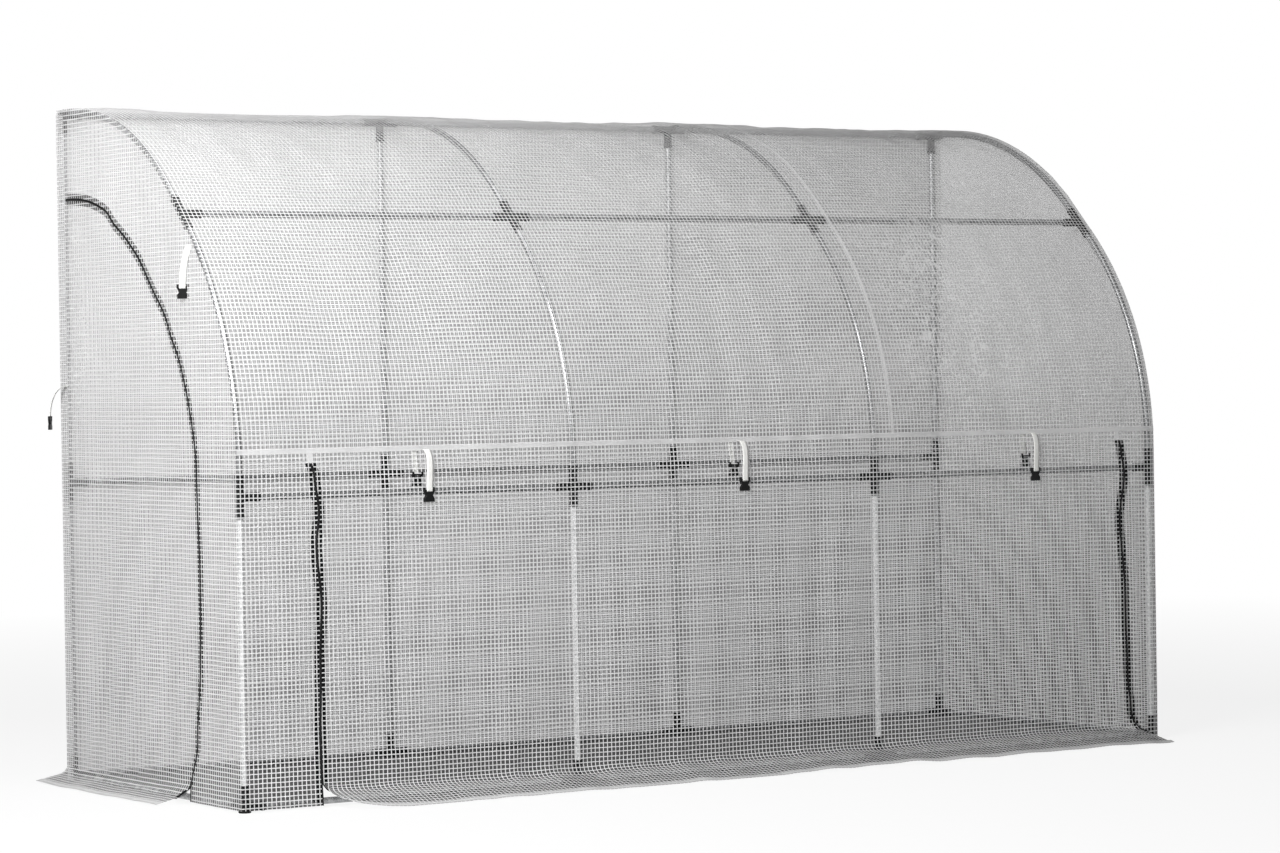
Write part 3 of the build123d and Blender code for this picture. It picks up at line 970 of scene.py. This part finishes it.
def strap_to_buckle(start, leave, top, half, facing, across):
    """A strap from its seam that leaves one way, bows, and goes over the bar of a buckle."""
    bar = top - Vector((0, 0, horn_height)) + facing * (half + strap_thickness * 0.7)
    slot = bar - Vector((0, 0, bar_height + 0.0015))
    over = interpolate_bezier(start, start + leave, bar + Vector((0, 0, bow_height)), bar, 22)
    tuck = interpolate_bezier(bar, bar - Vector((0, 0, 0.004)), slot, slot - facing * 0.006, 8)
    lay_strap(over + tuck[1:], across, facing)


half_apart, below_seam = 0.008, 0.004
leave_out = {-1: 0.005, 1: 0.014}  # the outer strap of a pair stands off further
front_boxes = sorted(solid_boxes("front_buckles"), key=lambda box: box[0].x)
for inner, outer in zip(front_boxes[::2], front_boxes[1::2]):
    seam_x = (inner[0].x + inner[1].x + outer[0].x + outer[1].x) / 4
    for (low, high), away in ((inner, -1), (outer, 1)):
        facing = Vector((0, -away, 0))
        start = cover_point(seam_x + half_apart * away, seam_s - below_seam, strap_lift * away)
        leave = Vector((0.022 * away, 0, 0.004)) + facing * leave_out[away]
        top = Vector(((low.x + high.x) / 2, (low.y + high.y) / 2, high.z))
        strap_to_buckle(start, leave, top, (high.y - low.y) / 2, facing, Vector((1, 0, 0)))
print("front straps", len(front_boxes))

# %% Turn the loose buckle
arch_box, post_box = sorted(solid_boxes("left_end_buckles"), key=lambda box: box[0].y)
low, high = arch_box
buckles = bmesh.new()
buckles.from_mesh(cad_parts["left_end_buckles"].data)
bmesh.ops.remove_doubles(buckles, verts=buckles.verts, dist=1e-6)
hanging = [vert for vert in buckles.verts if vert.co.y < high.y + 0.001]
arch_turn = Matrix.Rotation(math.radians(42), 3, "Z")
pivot = (low + high) / 2
bmesh.ops.rotate(buckles, verts=hanging, cent=pivot, matrix=arch_turn)
clear_of_film = to_left * 0.006
bmesh.ops.translate(buckles, verts=hanging, vec=clear_of_film)
turned_buckles = add_piece("turned_end_buckles", buckles, acetal, smooth=False)
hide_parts("left_end_buckles")
print(turned_buckles.name, "with", len(hanging), "points turned")

# %% Straps of the end
start = left_point(pivot.y - 0.03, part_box("left_end_straps")[1].z + 0.006, strap_lift)
leave = to_left * 0.012 + Vector((0, -0.002, -0.02))
top = Vector((pivot.x, pivot.y, high.z)) + clear_of_film
facing, across = arch_turn @ to_left, arch_turn @ Vector((0, 1, 0))
strap_to_buckle(start, leave, top, (high.x - low.x) / 2, facing, across)
low, high = post_box
centre = (low + high) / 2
post_turn = math.radians(33)
facing = Vector((-math.cos(post_turn), math.sin(post_turn), 0))
across = Vector((math.sin(post_turn), math.cos(post_turn), 0))
start = Vector((end_x[-1], centre.y - 0.027, high.z + 0.09))
leave = facing * 0.03 + Vector((0, 0, 0.004))
bar = Vector((centre.x, centre.y, high.z - horn_height))
curve = interpolate_bezier(start, start + leave, bar + Vector((0, 0, 0.06)), bar, 28)
lay_strap(curve, across, facing)
bmesh.ops.remove_doubles(straps, verts=straps.verts, dist=1e-6)
tie_straps = add_piece("tie_straps", straps, webbing)
thick = tie_straps.modifiers.new("webbing thickness", "SOLIDIFY")
thick.thickness, thick.offset = strap_thickness, 0
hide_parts("front_straps", "left_end_straps")
print("tie straps", len(tie_straps.data.polygons), "faces")

# %% [markdown]
# ## The films as cut sheets
# The cover is cloth-like: each film was cut flat from a roll before it was hung. The size of
# each cut is worked out and printed. The cut's area is the area of the UV map, which is the
# flat film in metres.


def flat_sheet(piece):
    """Print the smallest rectangle that a film's flat cut comes from and the cut's area."""
    spots = [loop.uv.copy() for loop in piece.data.uv_layers["flat"].data]
    cuts = []
    for turn in (0, 30, 45, 60):
        turned = Matrix.Rotation(math.radians(turn), 2)
        across, along = zip(*(turned @ spot for spot in spots))
        cuts.append((max(across) - min(across), max(along) - min(along)))
    wide, long = min(cuts, key=lambda size: size[0] * size[1])
    area = 0.0
    for face in piece.data.polygons:
        ring = [spots[index] for index in face.loop_indices]
        area += abs(sum(a.cross(b) for a, b in zip(ring, ring[1:] + ring[:1]))) / 2
    area = min(area, wide * long)
    print(piece.name, round(wide, 3), "by", round(long, 3), "m,", round(area, 3), "m2")


flat_sheet(roof_film)
flat_sheet(back_film)
flat_sheet(left_strip)
flat_sheet(right_strip)
flat_sheet(flap)
flat_sheet(surround)
flat_sheet(door)
flat_sheet(plain_end)

# %% [markdown]
# ## Stage, light and camera
# The photograph is a studio cut-out, so the floor and the world are pale. The world shows
# white to the camera, and lights the house with a plain grey. Inside, the house is dim in the
# photograph, so the wall and the floor are shown darker to a ray that has come through film,
# more so low down and to the right. In reflections only the wall in front is bright. A large
# soft lamp stands to the left of the front, as the bright left end shows, with weak ones
# above, at the left side and opposite. The camera's place comes from fitting the frame's
# fittings to the photograph.

# %% World
scene = bpy.context.scene
scene.view_settings.view_transform = "Standard"
world = bpy.data.worlds.new("studio")
scene.world = world
world.use_nodes = True
tree = world.node_tree
tree.nodes.clear()


def sight(tree):
    """What a ray is: seen by the camera or through film, seen in a gloss, and covered by film."""
    ray = node(tree, "LightPath").outputs
    seen = node(tree, "Math", {0: ray["Is Camera Ray"], 1: ray["Is Transmission Ray"]}, operation="MAXIMUM")
    films = node(tree, "Math", {0: ray["Transparent Depth"], 1: ray["Transmission Depth"]}, operation="ADD")
    covered = node(tree, "Math", {0: films}, operation="MINIMUM", in_1=1.0)
    return seen, ray["Is Glossy Ray"], covered


wall_behind_film = 0.45
to_the_right, to_the_front = (0.842, -0.54, 0.0), (-0.54, -0.84, 0.0)  # as the camera stands
seen, glossy, covered = sight(tree)
place = node(tree, "TexCoord").outputs["Generated"]
height = node(tree, "SeparateXYZ", {"Vector": place}).outputs["Z"]
upward = node(tree, "MapRange", {"Value": height}, in_1=-0.03, in_2=0.05, in_3=wall_behind_film)
across = node(tree, "VectorMath", {0: place}, operation="DOT_PRODUCT", in_1=to_the_right).outputs["Value"]
sideways = node(tree, "MapRange", {"Value": across}, in_1=-0.16, in_2=0.16, in_3=1.0, in_4=0.55)
lost = node(tree, "Math", {0: upward, 1: sideways}, operation="MULTIPLY_ADD", in_2=-1.0)
dimmed = node(tree, "Math", {0: covered, 1: lost}, operation="MULTIPLY_ADD", in_2=1.0)
direct = node(tree, "Math", {0: seen, 1: dimmed}, operation="MULTIPLY")
ahead = node(tree, "VectorMath", {0: place}, operation="DOT_PRODUCT", in_1=to_the_front).outputs["Value"]
sheen = node(tree, "MapRange", {"Value": ahead}, in_1=0.45, in_2=0.8, in_3=0.12)
mirrored = node(tree, "Math", {0: glossy, 1: sheen}, operation="MULTIPLY")
shown = node(tree, "Math", {0: direct, 1: mirrored}, operation="MAXIMUM")
room = node(tree, "Background", in_Color=tint("#E8E7E8"), in_Strength=0.14)
white = node(tree, "Background", in_Color=tint("#FFFFFF"), in_Strength=1.0)
both = node(tree, "MixShader", {0: shown, 1: room, 2: white})
node(tree, "OutputWorld", {"Surface": both})
print("world of", len(tree.nodes), "nodes")

# %% Floor
bm = bmesh.new()
bmesh.ops.create_grid(bm, x_segments=1, y_segments=1, size=200)
floor_mesh = bpy.data.meshes.new("studio_floor")
bm.to_mesh(floor_mesh)
bm.free()
floor = bpy.data.objects.new("studio_floor", floor_mesh)
scene.collection.objects.link(floor)
floor_paint, tree, shader = finish("painted_floor")
shader.inputs["Roughness"].default_value = 0.9
seen, glossy, covered = sight(tree)
paints = {"in_6": tint("#D0D0D0"), "in_7": tint("#404040")}
paint = node(tree, "Mix", {"Factor": covered}, data_type="RGBA", **paints).outputs[2]
join(tree, shader, {"Base Color": paint})
place = node(tree, "TexCoord").outputs["Object"]
away = node(tree, "VectorMath", {0: place}, operation="LENGTH").outputs["Value"]
further = node(tree, "Math", {0: away}, operation="ADD", in_1=26.0)
paler = node(tree, "Math", {0: away, 1: further}, operation="DIVIDE")
through = node(tree, "Math", {0: paler}, operation="MULTIPLY_ADD", in_1=wall_behind_film, in_2=-1.0)
dimmed = node(tree, "Math", {0: covered, 1: through}, operation="MULTIPLY_ADD", in_2=1.0)
eye = node(tree, "Math", {0: seen, 1: glossy}, operation="MAXIMUM")
direct = node(tree, "Math", {0: eye, 1: dimmed}, operation="MULTIPLY")
share_white = node(tree, "MapRange", {"Value": away}, in_1=3.0, in_2=9.0, in_3=0.85)
fade = node(tree, "Math", {0: direct, 1: share_white}, operation="MULTIPLY")
glow = node(tree, "Emission", in_Color=tint("#FFFFFF"), in_Strength=1.0)
pale = node(tree, "MixShader", {0: fade, 1: shader, 2: glow})
join(tree, tree.nodes["Material Output"], {"Surface": pale})
floor_mesh.materials.append(floor_paint)
print("floor", floor_paint.name)


# %% Lamps
def lamp(name, place, target, size, power):
    """A square soft lamp at a place, turned to a target."""
    data = bpy.data.lights.new(name, "AREA")
    data.size, data.energy = size, power
    made = bpy.data.objects.new(name, data)
    made.location = place
    made.rotation_euler = (Vector(target) - Vector(place)).to_track_quat("-Z", "Y").to_euler()
    scene.collection.objects.link(made)


lamp("key", (-4.3, -3.2, 4.0), (-0.8, 0, 1.2), 2.6, 505)
lamp("top", (-2.2, -0.4, 5.2), (-0.6, 0.2, 1.6), 2.0, 50)
lamp("side", (-3.6, -1.0, 2.7), (-1.4, 0.1, 1.6), 1.2, 12)
lamp("fill", (5, -8, 4), (0.5, 0, 1.0), 5, 12)
print("four lamps")

# %% Camera
image_width = 1280
focal_pixels = 3907
camera_place = (-6.5631, -10.327, 1.21)
yaw, pitch, roll_angle = (math.radians(angle) for angle in (32.657, -0.746, -0.902))
forward = Vector((math.sin(yaw) * math.cos(pitch), math.cos(yaw) * math.cos(pitch), math.sin(pitch)))
level = Vector((math.cos(yaw), -math.sin(yaw), 0))
above = level.cross(forward)
right = math.cos(roll_angle) * level + math.sin(roll_angle) * above
top = right.cross(forward)
camera_data = bpy.data.cameras.new("camera")
camera_data.sensor_width = 36
camera_data.sensor_fit = "HORIZONTAL"
camera_data.lens = focal_pixels / image_width * camera_data.sensor_width
camera = bpy.data.objects.new("camera", camera_data)
turned = Matrix((right, top, -forward)).transposed().to_4x4()
camera.matrix_world = Matrix.Translation(camera_place) @ turned
scene.collection.objects.link(camera)
scene.camera = camera
print("lens", round(camera_data.lens, 1), "mm")
